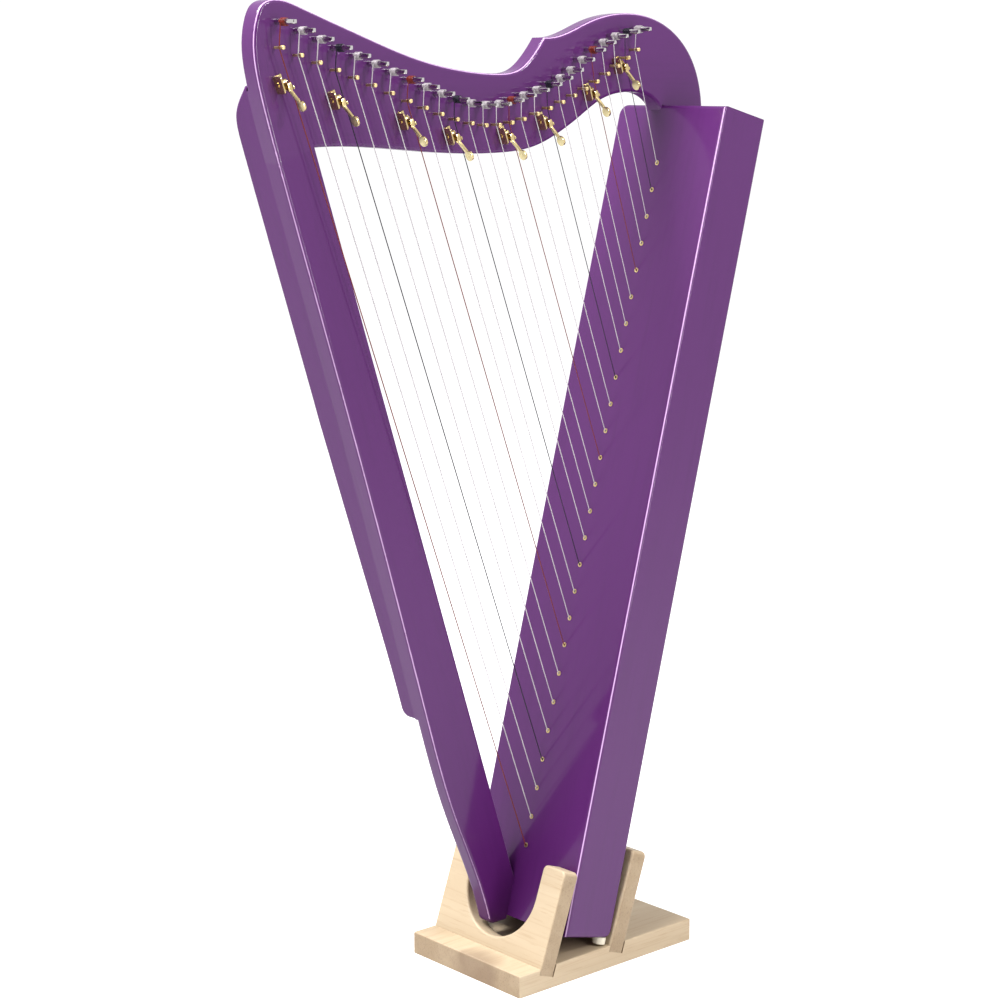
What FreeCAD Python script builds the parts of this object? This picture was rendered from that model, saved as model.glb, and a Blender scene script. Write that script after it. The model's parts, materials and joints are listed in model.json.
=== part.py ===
"""Small lap harp with sharpening levers, standing in a two-fork wooden stand.

Units are millimetres. The origin is the centre of the stand plate's underside. +Z is up,
+X points from the pillar towards the soundbox, and Y = 0 is the plane of the strings.
The neck and pillar lie on the +Y side of the strings.
"""
import FreeCAD
import Part
import math
import os

V = FreeCAD.Vector

# ---------------------------------------------------------------- stand
PLATE_LENGTH = 212.0
PLATE_WIDTH = 144.0
PLATE_THICK = 20.0
FORK_TILT = math.radians(19.2)
FORK_THICK = 17.5
FORK_HEIGHT = 92.5
FORK_CORNER_R = 5.0
FORK_U_RADIUS = 44.3
FORK_U_CENTRE = 60.9
FORK_ROUNDOVER = 2.2
PLATE_ROUNDOVER = 1.5
FRONT_FORK_FOOT = (-82.7, 15.0)
REAR_FORK_FOOT = (1.5, 15.0)
STAND_SCREW_Y = 45.0
STAND_SCREW_R = 2.2
STAND_SCREW_HEAD_R = 4.2

# ---------------------------------------------------------------- soundbox
BOARD_TILT = math.radians(14.55)
BOARD_FOOT = (-49.8, 40.3)
BOX_LENGTH = 742.4
BOX_WIDTH = 131.8
BOX_CENTRE_Y = -4.0
BOX_DEPTH_FOOT = 57.0
BOX_DEPTH_TOP = 54.0
BOX_EDGE_R = 3.2
BOX_BACK_CORNER_R = 7.0
BOX_FAR_CORNER_R = 10.0
BOARD_THICK = 3.6
BACK_THICK = 3.6
SIDE_THICK = 6.0
TOP_BLOCK = 20.0
FOOT_BLOCK = 34.0
RIB_WIDTH = 24.0
RIB_THICK = 5.0
RIB_START = 40.0
RIB_END = 712.0
BACK_HOLE_WIDTH = 56.0
BACK_HOLES = ((165.0, 120.0), (372.0, 108.0), (566.0, 96.0))
BRACE_PLACES = (268.0, 470.0)
BRACE_WIDTH = 14.0
BRACE_DEPTH = 9.0
BUMPER_R = 5.8
BUMPER_HEIGHT = 6.6
BUMPER_INSET = 7.0

# ---------------------------------------------------------------- neck and pillar
NEAR_FACE_Y = 7.5
BOARD_LAYER = 18.0
FAR_FACE_Y = NEAR_FACE_Y + BOARD_LAYER
FRAME_ROUNDOVER = 2.8
PILLAR_FRONT = ((-69.0, 35.4), (-77.6, 64.4), (-110.8, 145.8), (-142.4, 242.9), (-219.0, 497.6),
                (-283.2, 699.1))
HEAD = ((-299.3, 751.0), (-307.4, 781.0), (-310.8, 806.0), (-307.7, 827.4), (-301.4, 838.4),
        (-289.0, 842.3))
NECK_TOP = ((-266.0, 837.2), (-205.6, 816.3), (-143.6, 796.9), (-100.6, 788.9), (-60.6, 786.0),
            (-35.0, 789.9), (-20.2, 801.0))
STEP_CORNER = (-7.0, 816.5)
SHOULDER = ((12.4, 818.6), (46.4, 830.7), (94.4, 838.6), (145.4, 826.5), (174.9, 800.0), (186.2, 774.0))
ARCH = ((121.4, 766.0), (91.4, 770.2), (62.4, 764.0), (36.9, 749.8), (11.4, 735.8))
NECK_UNDERSIDE = ((-17.6, 724.6), (-57.6, 720.0), (-124.3, 721.4))
INNER_CORNER = (-252.3, 728.0)
LIP_BELOW_TOP = 4.9
CROTCH_HEIGHT = 36.9
FOOT_BOTTOM_Z = 35.4
FOOT_CORNER_R = 7.0
PILLAR_FAR_ROUNDOVER = 5.0
BACKER_TOP = ((28.5, 776.5), (36.0, 770.0), (44.0, 762.5), (50.0, 754.0), (52.6, 744.0), (53.0, 732.0))
BACKER_SWELL = ((53.0, 500.0), (51.4, 450.0), (47.6, 361.0), (44.4, 300.0), (43.0, 244.0))
BACKER_BOTTOM_Z = 235.5
BACKER_LOW_ROUND_MID = (40.6, 237.9)
BACKER_LOW_FLAT_Y = 34.5
DOWEL_R = 4.0
DOWEL_REACH = 17.0
NECK_DOWEL_DEPTHS = (12.0, 31.0)
JOINT_DOWEL_PLACES = (-14.0, -33.0)
FOOT_DOWEL_PLACES = (9.0, 25.0)

# ---------------------------------------------------------------- strings
STRING_COUNT = 26
FIRST_HOLE = 65.9
BASS_GAPS = 7
BASS_GAP = 26.2
TREBLE_GAP = 24.45
STRING_LEAN = 20.2
LEAN_CHANGE_FROM = 16
LEAN_CHANGE = 0.4
BASS_STRING_R = 0.45
TREBLE_STRING_R = 0.3
BRIDGE_CURVE = ((-325.6, 815.9), (-293.3, 805.4), (-200.9, 775.9), (-113.8, 748.1), (-82.1, 743.1),
                (-53.2, 745.3), (-11.6, 756.3), (43.2, 778.4), (94.1, 806.8), (124.4, 825.8))
TUNING_CURVE = ((-325.6, 837.0), (-288.7, 825.0), (-235.0, 805.9), (-180.1, 787.3), (-129.6, 769.9),
                (-98.1, 761.8), (-68.1, 761.0), (-39.1, 768.0), (-10.4, 777.0), (14.8, 788.8),
                (40.9, 806.0), (67.7, 818.0), (96.4, 824.5), (114.4, 826.0))
TUNING_OFFSETS = ((1, 3.6), (7, 3.8), (12, 1.5), (16, 1.6), (18, 0.6), (20, -2.7), (23, -3.6), (26, 2.7))
RED_STRINGS = (1, 8, 15, 22)
DARK_STRINGS = (4, 11, 18, 25)
EYELET_R = 1.7
EYELET_BORE_R = 1.1
EYELET_FLANGE_R = 2.15
EYELET_FLANGE = 0.45
STRING_RISE = 0.9
KNOT_R = 2.0

# ---------------------------------------------------------------- pins
BRIDGE_PIN_R = 1.1
BRIDGE_GROOVE_R = 0.9
BRIDGE_GROOVE_HALF = 1.3
BRIDGE_HEAD_R = 1.8
BRIDGE_HEAD_END = -4.5
BRIDGE_HEAD_ROUND = 0.9
BRIDGE_SLOT = 0.5
BRIDGE_PIN_IN = 11.0
TUNING_PIN_R = 2.45
TUNING_PIN_OUT = 24.0
TUNING_PIN_IN = 15.0
TUNING_SQUARE = 3.9
TUNING_SQUARE_LENGTH = 8.5
PIN_CLEARANCE = 0.04
WINDING_R = 3.3
WINDING_HALF = 4.0
WINDING_CENTRE_Y = -2.4
STRING_CLEARANCE = 0.06

# ---------------------------------------------------------------- sharpening levers
LEVER_DISTANCES = {1: 26.7, 4: 21.7, 8: 13.7, 11: 11.2, 15: 8.2, 18: 8.7, 22: 6.9, 25: 4.2}
SHEET = 1.2
AXLE_OUT = 3.3
AXLE_R = 1.6
AXLE_HEAD_R = 2.2
AXLE_HEAD = 0.6
PLATE_LEFT = -9.2
BRACKET_TOP = -6.6
BRACKET_BOTTOM = 7.4
BRACKET_OUT = 10.2
TOP_FLANGE_RIGHT = -1.4
TOP_FLANGE_DOWN = -3.1
LOW_FLANGE_DOWN = 4.0
EAR_LEFT = 1.4
EAR_OUT = 8.2
FRET_LEFT = -0.9
FRET_DOWN = (5.2, 6.4)
FRET_OUT = 6.2
HUB_LEFT = -5.0
HUB_RIGHT = -1.2
HUB_R = 2.85
CAM_CORNERS = ((-0.4, 2.7), (0.2, 7.0), (1.8, 7.8), (6.6, 7.2), (7.4, 5.6), (2.8, 0.3))
HANDLE_LEFT = -4.1
HANDLE_RIGHT = -2.1
HANDLE_START = (5.2, 5.2)
HANDLE_END = (16.4, 13.4)
HANDLE_HALF = 1.2
PADDLE_CENTRE = (19.1, 14.7)
PADDLE_R = 4.3
SCREW_ACROSS = -5.2
SCREW_DOWN = -4.85
SCREW_HEAD_R = 1.7
SCREW_HEAD = 1.2
SCREW_R = 1.1
SCREW_IN = 9.0


def up_board(distance):
    """Point on the soundboard's front plane, a distance up from its foot, in the plane Y = 0."""
    x = BOARD_FOOT[0] + distance * math.sin(BOARD_TILT)
    z = BOARD_FOOT[1] + distance * math.cos(BOARD_TILT)
    return V(x, 0, z)


BOARD_UP = V(math.sin(BOARD_TILT), 0, math.cos(BOARD_TILT))
BOARD_IN = V(math.cos(BOARD_TILT), 0, -math.sin(BOARD_TILT))


def in_box(along, depth, y):
    """Point given by its distance up the soundboard, depth behind its front, and Y."""
    return up_board(along) + BOARD_IN * depth + V(0, y, 0)


def box_depth(along):
    """Depth of the soundbox at a distance up the soundboard."""
    return BOX_DEPTH_FOOT + (BOX_DEPTH_TOP - BOX_DEPTH_FOOT) * along / BOX_LENGTH


def flat(points, y):
    """Vectors at height y from (x, z) pairs."""
    return [V(x, y, z) for x, z in points]


def spline(points):
    """One smooth edge through all the points."""
    curve = Part.BSplineCurve()
    curve.interpolate(points)
    return curve.toShape()


def line(start, end):
    return Part.LineSegment(start, end).toShape()


def prism(points, travel):
    """Solid swept from a polygon along a straight travel."""
    return Part.Face(Part.makePolygon(points + [points[0]])).extrude(travel)


def cylinder(radius, start, end):
    """Cylinder between two points."""
    travel = end - start
    return Part.makeCylinder(radius, travel.Length, start, travel)


def round_edges(shape, radius, chosen):
    """Round the edges for which chosen(edge) is true."""
    return shape.makeFillet(radius, [edge for edge in shape.Edges if chosen(edge)])


def runs_along(edge, direction):
    """True for a straight edge parallel to the direction."""
    if not isinstance(edge.Curve, Part.Line):
        return False
    return abs(edge.Curve.Direction.dot(direction)) > 0.9999


def upright(edge):
    """True for an edge that runs straight along Y."""
    box = edge.BoundBox
    return box.XLength < 0.01 and box.ZLength < 0.01


def lies_at_y(edge, y):
    """True for an edge whose whole length is at height y."""
    return all(abs(point.y - y) < 1e-4 for point in edge.discretize(5))


def export(name, shape):
    """Write one node; a list of separate solids becomes one compound."""
    solid = Part.makeCompound(shape) if isinstance(shape, list) else shape
    if not solid.isValid():
        raise ValueError("invalid shape: " + name)
    solid.exportStep("parts/" + name + ".step")


# ================================================================ stand

def fork_point(foot, across, along, y):
    """Point in a fork: across its thickness and along its slope from the front of its foot."""
    x = foot[0] + across * math.cos(FORK_TILT) + along * math.sin(FORK_TILT)
    z = foot[1] - across * math.sin(FORK_TILT) + along * math.cos(FORK_TILT)
    return V(x, y, z)


def fork_blank(foot, height, half_width):
    """Plain slab of a fork, from its foot to a height along the slope."""
    corners = [fork_point(foot, 0, 0, -half_width), fork_point(foot, 0, 0, half_width),
               fork_point(foot, 0, height, half_width), fork_point(foot, 0, height, -half_width)]
    travel = fork_point(foot, FORK_THICK, 0, 0) - fork_point(foot, 0, 0, 0)
    return prism(corners, travel)


def is_arm_tip(edge, top):
    """True for the sharp inner edges at the top of a fork's arms."""
    return edge.CenterOfMass.z > top - 12 and abs(abs(edge.CenterOfMass.y) - FORK_U_RADIUS) < 0.01


def stand_fork(foot):
    """Fork with a U-shaped rest, rounded arm ends and softened edges."""
    slab = fork_blank(foot, FORK_HEIGHT, PLATE_WIDTH / 2)
    thickness = fork_point(foot, 1, 0, 0) - fork_point(foot, 0, 0, 0)
    top = fork_point(foot, 0, FORK_HEIGHT, 0).z

    def is_top_corner(edge):
        return runs_along(edge, thickness) and edge.CenterOfMass.z > top - 12

    slab = round_edges(slab, FORK_CORNER_R, is_top_corner)
    low = fork_point(foot, -5, FORK_U_CENTRE, 0)
    high = fork_point(foot, -5, 120, 0)
    bore = cylinder(FORK_U_RADIUS, low, low + thickness * 35)
    half = V(0, FORK_U_RADIUS, 0)
    mouth = prism([low - half, low + half, high + half, high - half], thickness * 35)
    slab = slab.cut(bore).cut(mouth).removeSplitter()
    slab = round_edges(slab, FORK_CORNER_R, lambda e: runs_along(e, thickness) and is_arm_tip(e, top))
    front = fork_point(foot, 0, 0, 0)
    clear_of_plate = PLATE_THICK + 12

    def on_broad_face(edge):
        for point in edge.discretize(3):
            across = (point - front).dot(thickness)
            if min(abs(across), abs(across - FORK_THICK)) > 1e-3:
                return False
        return edge.BoundBox.ZMax > clear_of_plate

    return round_edges(slab, FORK_ROUNDOVER, on_broad_face)


def stand_screw(x, y, top_z):
    """Countersunk wood screw, let into the underside of the plate."""
    head = Part.makeCone(STAND_SCREW_HEAD_R, STAND_SCREW_R, 3.0, V(x, y, 0.6))
    shank = Part.makeCylinder(STAND_SCREW_R, top_z - 3.6, V(x, y, 3.6))
    return head.fuse(shank)


def fork_screws(foot):
    """Two screws up through the plate into each fork."""
    middle = fork_point(foot, FORK_THICK / 2, 0, 0)
    top_z = middle.z + 20
    x = middle.x + 2.5
    return [stand_screw(x, STAND_SCREW_Y, top_z), stand_screw(x, -STAND_SCREW_Y, top_z)]


def screw_clearance(screw):
    """The screw's own shape, with a countersink open to the underside."""
    box = screw.BoundBox
    mouth = Part.makeCylinder(STAND_SCREW_HEAD_R, 0.6, V(box.Center.x, box.Center.y, 0))
    return screw.fuse(mouth)


def make_stand():
    screws = fork_screws(FRONT_FORK_FOOT) + fork_screws(REAR_FORK_FOOT)
    plate = Part.makeBox(PLATE_LENGTH, PLATE_WIDTH, PLATE_THICK, V(-PLATE_LENGTH / 2, -PLATE_WIDTH / 2, 0))
    plate = round_edges(plate, PLATE_ROUNDOVER, lambda e: e.CenterOfMass.z > PLATE_THICK / 3)
    forks = {}
    for name, foot in (("stand_front_fork", FRONT_FORK_FOOT), ("stand_rear_fork", REAR_FORK_FOOT)):
        forks[name] = stand_fork(foot)
        plate = plate.cut(fork_blank(foot, 40, PLATE_WIDTH))
    for screw in screws:
        hole = screw_clearance(screw)
        plate = plate.cut(hole)
        forks = {name: fork.cut(hole) for name, fork in forks.items()}
    export("stand_base", plate)
    for name, fork in forks.items():
        export(name, fork)
    export("stand_screws", screws)


# ================================================================ string lines

STRINGS = range(1, STRING_COUNT + 1)


def hole_place(number):
    """Distance of a string's hole up the soundboard; string 1 is the longest."""
    wide = min(number - 1, BASS_GAPS)
    narrow = number - 1 - wide
    return FIRST_HOLE + wide * BASS_GAP + narrow * TREBLE_GAP


def string_radius(number):
    share = (number - 1) / (STRING_COUNT - 1)
    return BASS_STRING_R + (TREBLE_STRING_R - BASS_STRING_R) * share


def string_lean(number):
    """Angle of a string from the vertical; the short strings stand steeper."""
    return math.radians(STRING_LEAN - LEAN_CHANGE * max(0, number - LEAN_CHANGE_FROM))


def across_string(number):
    """Unit vector square to the string, in the plane of the strings, towards the soundbox."""
    lean = string_lean(number)
    return V(math.cos(lean), 0, math.sin(lean))


def down_string(number):
    """Unit vector from the bridge pin towards the soundboard."""
    lean = string_lean(number)
    return V(math.sin(lean), 0, -math.cos(lean))


def meet(curve, start, end):
    """Point where a straight line meets a curve in the plane of the strings."""
    return curve.distToShape(line(start, end))[1][0][0]


def string_bend(number):
    """Point where the string leaves its eyelet."""
    return in_box(hole_place(number), -STRING_RISE, 0)


def bridge_contact(number):
    """Point of the string beside its bridge pin."""
    start = string_bend(number)
    return meet(spline(flat(BRIDGE_CURVE, 0)), start, start - down_string(number) * 900)


def bridge_centre(number):
    """Axis of the bridge pin, on the soundbox side of the string."""
    return bridge_contact(number) + across_string(number) * (BRIDGE_GROOVE_R + string_radius(number))


def tuning_offset(number):
    """How far a tuning pin stands beside its bridge pin, along X."""
    for (first, low), (last, high) in zip(TUNING_OFFSETS, TUNING_OFFSETS[1:]):
        if number <= last:
            return low + (high - low) * (number - first) / (last - first)


def tuning_centre(number):
    """Axis of the tuning pin, above the bridge pin."""
    x = bridge_contact(number).x + tuning_offset(number)
    return meet(spline(flat(TUNING_CURVE, 0)), V(x, 0, 700), V(x, 0, 900))


def string_path(number):
    """Eyelet bend, corner at the bridge pin and end at the winding."""
    radius = string_radius(number)
    pin = bridge_centre(number)
    post = tuning_centre(number)
    pin_reach = BRIDGE_GROOVE_R + radius
    post_reach = WINDING_R + radius + STRING_CLEARANCE
    between = post - pin
    turn = math.atan2(between.x, between.z) + math.asin((pin_reach - post_reach) / between.Length)
    upward = V(math.sin(turn), 0, math.cos(turn))
    leftward = V(-upward.z, 0, upward.x)
    touch = pin + leftward * pin_reach
    contact = bridge_contact(number)
    up = down_string(number) * -1
    apart = touch - contact
    reach = (apart.x * upward.z - apart.z * upward.x) / (up.x * upward.z - up.z * upward.x)
    end = post + leftward * post_reach + V(0, WINDING_CENTRE_Y, 0)
    return string_bend(number), contact + up * reach, end


# ================================================================ soundbox

def box_blank():
    """Outside of the soundbox as one solid, with its edges rounded."""
    near_y = BOX_CENTRE_Y - BOX_WIDTH / 2
    profile = [in_box(0, 0, near_y), in_box(0, BOX_DEPTH_FOOT, near_y),
               in_box(BOX_LENGTH, BOX_DEPTH_TOP, near_y), in_box(BOX_LENGTH, 0, near_y)]
    solid = prism(profile, V(0, BOX_WIDTH, 0))
    across = V(0, 1, 0)

    def back_foot(edge):
        return runs_along(edge, across) and edge.CenterOfMass.z < 30

    def far_top(edge):
        return runs_along(edge, BOARD_IN) and edge.CenterOfMass.y > 0 and edge.CenterOfMass.z > 400

    solid = round_edges(solid, BOX_BACK_CORNER_R, back_foot)
    solid = round_edges(solid, BOX_FAR_CORNER_R, far_top)
    foot_plane = in_box(0, 0, 0).dot(BOARD_UP)

    def soft_edge(edge):
        points = edge.discretize(5)
        at_foot = all(abs(point.dot(BOARD_UP) - foot_plane) < 1e-3 for point in points)
        on_top = all(abs(point.dot(BOARD_UP) - foot_plane - BOX_LENGTH) < 1e-3 for point in points)
        return not at_foot and not on_top and not runs_along(edge, across) and not runs_along(edge, BOARD_IN)

    return round_edges(solid, BOX_EDGE_R, soft_edge)


def slab(along_low, along_high, near_depth, far_depth, y_low, y_high):
    """Tapered block inside the soundbox; the depths are functions of the distance up the board."""
    profile = [in_box(along_low, near_depth(along_low), y_low),
               in_box(along_low, far_depth(along_low), y_low),
               in_box(along_high, far_depth(along_high), y_low),
               in_box(along_high, near_depth(along_high), y_low)]
    return prism(profile, V(0, y_high - y_low, 0))


def at_board(along):
    return BOARD_THICK


def at_back(along):
    return box_depth(along) - BACK_THICK


def at_rib(along):
    return BOARD_THICK + RIB_THICK


def at_brace(along):
    return at_back(along) - BRACE_DEPTH


def well_in_front(along):
    return -5.0


def well_behind(along):
    return box_depth(along) + 10.0


def back_hole(centre, length):
    """Long sound hole with round ends, cut through the back panel."""
    half_straight = (length - BACK_HOLE_WIDTH) / 2
    radius = BACK_HOLE_WIDTH / 2
    low = in_box(centre - half_straight, 30, BOX_CENTRE_Y)
    high = in_box(centre + half_straight, 30, BOX_CENTRE_Y)
    travel = BOARD_IN * 50
    half = V(0, radius, 0)
    straight = prism([low - half, low + half, high + half, high - half], travel)
    return straight.fuse([cylinder(radius, low, low + travel), cylinder(radius, high, high + travel)])


def make_soundbox(dowels):
    """Panels, blocks, rib and braces."""
    blank = box_blank()
    near_y = BOX_CENTRE_Y - BOX_WIDTH / 2
    far_y = BOX_CENTRE_Y + BOX_WIDTH / 2
    inner_near = near_y + SIDE_THICK
    inner_far = far_y - SIDE_THICK
    foot = -5.0
    top = BOX_LENGTH + 5
    board = blank.common(slab(foot, top, well_in_front, at_board, near_y - 5, far_y + 5))
    back = blank.common(slab(foot, top, at_back, well_behind, near_y - 5, far_y + 5))
    near = blank.common(slab(foot, top, at_board, at_back, near_y - 5, inner_near))
    far = blank.common(slab(foot, top, at_board, at_back, inner_far, far_y + 5))
    foot_block = blank.common(slab(foot, FOOT_BLOCK, at_board, at_back, inner_near, inner_far))
    top_block = blank.common(slab(BOX_LENGTH - TOP_BLOCK, top, at_board, at_back, inner_near, inner_far))
    rib = slab(RIB_START, RIB_END, at_board, at_rib, -RIB_WIDTH / 2, RIB_WIDTH / 2)
    for number in STRINGS:
        hole = hole_place(number)
        bore = cylinder(EYELET_R, in_box(hole, -2, 0), in_box(hole, BOARD_THICK, 0))
        board = board.cut(bore)
        rib = rib.cut(cylinder(EYELET_BORE_R, in_box(hole, 0, 0), in_box(hole, 12, 0)))
    for centre, length in BACK_HOLES:
        back = back.cut(back_hole(centre, length))
    braces = [slab(place, place + BRACE_WIDTH, at_brace, at_back, inner_near, inner_far)
              for place in BRACE_PLACES]
    for dowel in dowels:
        board = board.cut(dowel)
        top_block = top_block.cut(dowel)
        foot_block = foot_block.cut(dowel)
    export("soundboard", board)
    export("soundbox_back", back)
    export("soundbox_near_side", near)
    export("soundbox_far_side", far)
    export("soundbox_foot_block", foot_block)
    export("soundbox_top_block", top_block)
    export("string_rib", rib)
    export("back_braces", braces)


def eyelet(hole):
    """Flanged brass bush in the soundboard."""
    tube = cylinder(EYELET_R, in_box(hole, 0, 0), in_box(hole, BOARD_THICK, 0))
    flange = cylinder(EYELET_FLANGE_R, in_box(hole, -EYELET_FLANGE, 0), in_box(hole, 0, 0))
    bore = cylinder(EYELET_BORE_R, in_box(hole, -2, 0), in_box(hole, BOARD_THICK + 2, 0))
    return tube.fuse(flange).cut(bore)


def bumper(side):
    """Round foot under a back corner of the soundbox."""
    depth = BOX_DEPTH_FOOT - BUMPER_INSET
    y = BOX_CENTRE_Y + side * (BOX_WIDTH / 2 - BUMPER_INSET)
    pad = cylinder(BUMPER_R, in_box(0, depth, y), in_box(-BUMPER_HEIGHT, depth, y))
    return round_edges(pad, 1.0, lambda e: e.BoundBox.ZMax < in_box(-BUMPER_HEIGHT / 2, depth - 6, y).z)


# ================================================================ neck and pillar

def frame_outline():
    """Closed outline of the neck and pillar layer, at the near face."""
    y = NEAR_FACE_Y
    front = flat(PILLAR_FRONT + HEAD + NECK_TOP + (STEP_CORNER,), y)
    back_top = in_box(BOX_LENGTH, BOX_DEPTH_TOP, y)
    board_top = in_box(BOX_LENGTH, 0, y)
    lip = in_box(BOX_LENGTH - LIP_BELOW_TOP, 0, y)
    shoulder = [front[-1]] + flat(SHOULDER, y) + [back_top]
    underside = [lip] + flat(ARCH + NECK_UNDERSIDE + (INNER_CORNER,), y)
    crotch = in_box(CROTCH_HEIGHT, 0, y)
    heel_along = (FOOT_BOTTOM_Z - BOARD_FOOT[1]) / math.cos(BOARD_TILT)
    heel_back = in_box(heel_along, 0, y)
    edges = [spline(front), spline(shoulder), line(back_top, board_top), line(board_top, lip),
             spline(underside), line(underside[-1], crotch), line(crotch, heel_back),
             line(heel_back, front[0])]
    return Part.Wire(Part.sortEdges(edges)[0])


def is_foot_corner(edge):
    """True for the upright edge at the front of the pillar's foot."""
    corner = V(PILLAR_FRONT[0][0], edge.CenterOfMass.y, PILLAR_FRONT[0][1])
    return upright(edge) and edge.CenterOfMass.distanceToPoint(corner) < 0.01


def pillar_up():
    """Direction of the pillar's straight inner edge."""
    crotch = up_board(CROTCH_HEIGHT)
    return V(INNER_CORNER[0] - crotch.x, 0, INNER_CORNER[1] - crotch.z).normalize()


def inner_edge_x(z):
    """X of the pillar's inner edge, or of its straight continuation, at a height."""
    direction = pillar_up()
    return INNER_CORNER[0] + (z - INNER_CORNER[1]) * direction.x / direction.z


def above_joint():
    """Block over everything above the glued joint between pillar and neck."""
    rise = pillar_up()
    across = V(rise.z, 0, -rise.x)
    corner = V(INNER_CORNER[0], -20, INNER_CORNER[1])
    front = corner - across * 120
    points = [front, corner, corner + V(600, 0, -60), corner + V(600, 0, 300), front + V(0, 0, 300)]
    return prism(points, V(0, 80, 0))


def on_seat(edge):
    """True for the edges where the frame board meets the soundbox."""
    points = edge.discretize(3)
    board_plane = up_board(0).dot(BOARD_IN)
    top_plane = up_board(BOX_LENGTH).dot(BOARD_UP)
    on_board = all(abs(point.dot(BOARD_IN) - board_plane) < 1e-3 for point in points)
    on_top = all(abs(point.dot(BOARD_UP) - top_plane) < 1e-3 for point in points)
    return on_board or on_top


def dowel(middle, direction):
    return cylinder(DOWEL_R, middle - direction * DOWEL_REACH, middle + direction * DOWEL_REACH)


def frame_dowels():
    """Glued dowels: neck to top block, pillar to neck, and pillar foot to foot block."""
    y = NEAR_FACE_Y + BOARD_LAYER / 2
    rise = pillar_up()
    across = V(rise.z, 0, -rise.x)
    corner = V(INNER_CORNER[0], y, INNER_CORNER[1])
    dowels = [dowel(in_box(BOX_LENGTH, depth, y), BOARD_UP) for depth in NECK_DOWEL_DEPTHS]
    dowels += [dowel(corner + across * place, rise) for place in JOINT_DOWEL_PLACES]
    dowels += [dowel(in_box(place, 0, y), BOARD_IN) for place in FOOT_DOWEL_PLACES]
    return dowels


def backer_profile():
    """Side view of the backer, in the plane X = 0: it swells towards the neck and both ends are faired."""
    top = [V(0, y, z) for y, z in BACKER_TOP]
    swell = [V(0, y, z) for y, z in BACKER_SWELL]
    corner = V(0, BACKER_LOW_FLAT_Y, BACKER_BOTTOM_Z)
    round_mid = V(0, BACKER_LOW_ROUND_MID[0], BACKER_LOW_ROUND_MID[1])
    foot = V(0, FAR_FACE_Y, BACKER_BOTTOM_Z)
    root = V(0, FAR_FACE_Y, top[0].z)
    edges = [line(root, top[0]), spline(top), line(top[-1], swell[0]), spline(swell),
             Part.Arc(swell[-1], round_mid, corner).toShape(), line(corner, foot), line(foot, root)]
    return Part.Face(Part.Wire(Part.sortEdges(edges)[0]))


def pillar_backer():
    """Second layer behind the pillar and the neck joint, cut to the same front and inner edges."""
    bottom = BACKER_BOTTOM_Z - 20
    top = BACKER_TOP[0][1] + 20
    limits = flat(((-400, bottom), (inner_edge_x(bottom), bottom), (inner_edge_x(top), top), (-400, top)),
                  NEAR_FACE_Y)
    outline = Part.Face(frame_outline()).common(Part.Face(Part.makePolygon(limits + [limits[0]])))
    outline.translate(V(0, BOARD_LAYER, 0))
    blank = outline.Faces[0].extrude(V(0, 60, 0))
    side_view = backer_profile()
    side_view.translate(V(-400, 0, 0))
    return blank.common(side_view.extrude(V(400, 0, 0))).Solids[0]


def round_backer(backer):
    """Softens the edges between the backer's outer face and its front and inner edges."""
    def outer_edge(edge):
        crosswise = max(abs(edge.tangentAt(p).x) for p in edge.ParameterRange) > 0.9
        return edge.BoundBox.YMax > FAR_FACE_Y + 0.01 and not crosswise

    return round_edges(backer, FRAME_ROUNDOVER, outer_edge)


def make_frame(dowels, pin_bores):
    """Neck and pillar cut from one outline, and the backer behind them."""
    sheet = Part.Face(frame_outline()).extrude(V(0, BOARD_LAYER, 0))
    sheet = round_edges(sheet, FOOT_CORNER_R, is_foot_corner)
    rounded = round_edges(sheet, FRAME_ROUNDOVER, lambda e: lies_at_y(e, NEAR_FACE_Y) and not on_seat(e))
    upper = above_joint()
    backer = pillar_backer()
    seat = backer.copy()
    seat.translate(V(0, -BOARD_LAYER / 2, 0))
    seat = seat.common(sheet)

    def free_far_edge(edge):
        return lies_at_y(edge, FAR_FACE_Y) and not on_seat(edge) and not isinstance(edge.Curve, Part.Line)

    pillar = round_edges(rounded.cut(upper), PILLAR_FAR_ROUNDOVER, free_far_edge).fuse(seat.cut(upper))
    neck = round_edges(rounded.common(upper), FRAME_ROUNDOVER, free_far_edge).fuse(seat.common(upper))
    neck = neck.cut(Part.makeCompound(pin_bores))
    for peg in dowels:
        neck = neck.cut(peg)
        pillar = pillar.cut(peg)
    export("neck", neck)
    export("pillar", pillar)
    export("pillar_backer", round_backer(backer))
    export("frame_dowels", dowels)


# ================================================================ strings and pins

def harp_string(number):
    """String from its knot inside the soundbox to the winding on its tuning pin."""
    radius = string_radius(number)
    bend, corner, end = string_path(number)
    hole = hole_place(number)
    knot = in_box(hole, BOARD_THICK + RIB_THICK + KNOT_R, 0)
    runs = [cylinder(radius, bend, corner), cylinder(radius, corner, end)]
    joints = [Part.makeSphere(KNOT_R, knot), Part.makeSphere(radius, bend), Part.makeSphere(radius, corner)]
    return cylinder(radius, knot, bend).fuse(runs + joints)


def rod(centre, radius, y_from, y_to):
    """Round bar square to the neck."""
    return Part.makeCylinder(radius, y_to - y_from, V(centre.x, y_from, centre.z), V(0, 1, 0))


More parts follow.
